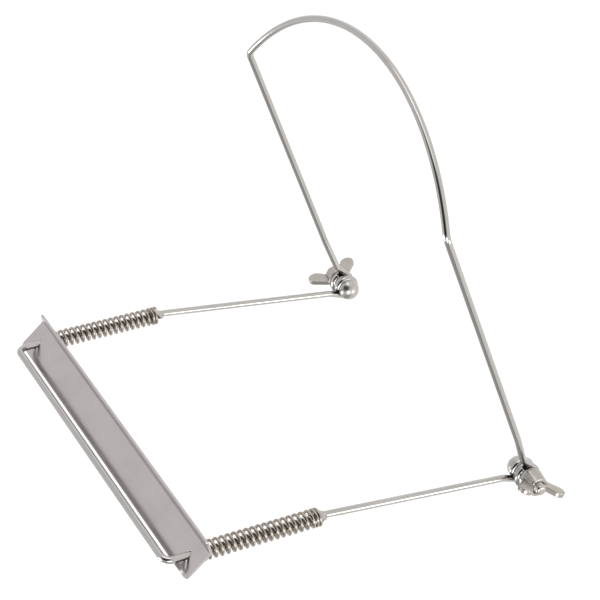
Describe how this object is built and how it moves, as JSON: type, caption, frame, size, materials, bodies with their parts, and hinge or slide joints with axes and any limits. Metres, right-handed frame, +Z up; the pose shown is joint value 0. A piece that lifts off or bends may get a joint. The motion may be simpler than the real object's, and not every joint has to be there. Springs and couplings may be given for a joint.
{
  "type": "neck-worn harmonica holder",
  "caption": "Wire neck yoke with a swinging wire bail that clamps a harmonica between its cross bar and a sprung sliding plate; wing nuts lock the angle.",
  "frame": {"origin": "on the inner side of the neck loop at its middle, where the loop rests on the back of the neck", "axes": "+Z up along the clamp's sliding direction as worn, -Y the way the wearer faces, +X the wearer's left, parallel to the hinge line"},
  "size_m": [0.1948, 0.1799, 0.1778],
  "materials": {
    "plated_wire": "bright nickel-plated steel wire, drawn and polished",
    "plated_sheet": "bright nickel-plated steel strip, polished",
    "spring_wire": "nickel-plated music wire, slightly darker and duller than the frame",
    "plated_hardware": "nickel-plated steel hardware"
  },
  "bodies": {
    "yoke": {"neck_yoke": "plated_wire", "bolt_left": "plated_hardware", "bolt_right": "plated_hardware", "friction_washer_left": "plated_hardware", "friction_washer_right": "plated_hardware"},
    "bail": {"harp_bail": "plated_wire", "spring_left": "spring_wire", "spring_right": "spring_wire"},
    "clamp": {"clamp_plate": "plated_sheet"},
    "washer_left": {"nut_washer_left": "plated_hardware"},
    "nut_left": {"wing_nut_left": "plated_hardware"},
    "washer_right": {"nut_washer_right": "plated_hardware"},
    "nut_right": {"wing_nut_right": "plated_hardware"}
  },
  "joints": [
    {"name": "bail_swing", "type": "hinge", "parent": "yoke", "child": "bail", "pos_m": [0, -0.17394, -0.04025], "axis": [1, 0, 0], "range_deg": [-58, 285]},
    {"name": "clamp_slide", "type": "slide", "parent": "bail", "child": "clamp", "axis": [0, 0, -1], "range_m": [0, 0.022], "stiffness_N_per_m": 2660, "deforming": ["spring_left", "spring_right"]},
    {"name": "washer_left_travel", "type": "slide", "parent": "yoke", "child": "washer_left", "axis": [1, 0, 0], "range_m": [0, 0.00241]},
    {"name": "wing_nut_left_turn", "type": "hinge", "parent": "washer_left", "child": "nut_left", "pos_m": [0, -0.17394, -0.04025], "axis": [1, 0, 0], "range_deg": [0, 1080]},
    {"name": "washer_right_travel", "type": "slide", "parent": "yoke", "child": "washer_right", "axis": [-1, 0, 0], "range_m": [0, 0.00241]},
    {"name": "wing_nut_right_turn", "type": "hinge", "parent": "washer_right", "child": "nut_right", "pos_m": [0, -0.17394, -0.04025], "axis": [-1, 0, 0], "range_deg": [0, 1080]}
  ],
  "couplings": [
    {"joint": "washer_left_travel", "follows": "wing_nut_left_turn", "m_per_rad": 0.00012732},
    {"joint": "washer_right_travel", "follows": "wing_nut_right_turn", "m_per_rad": 0.00012732}
  ]
}
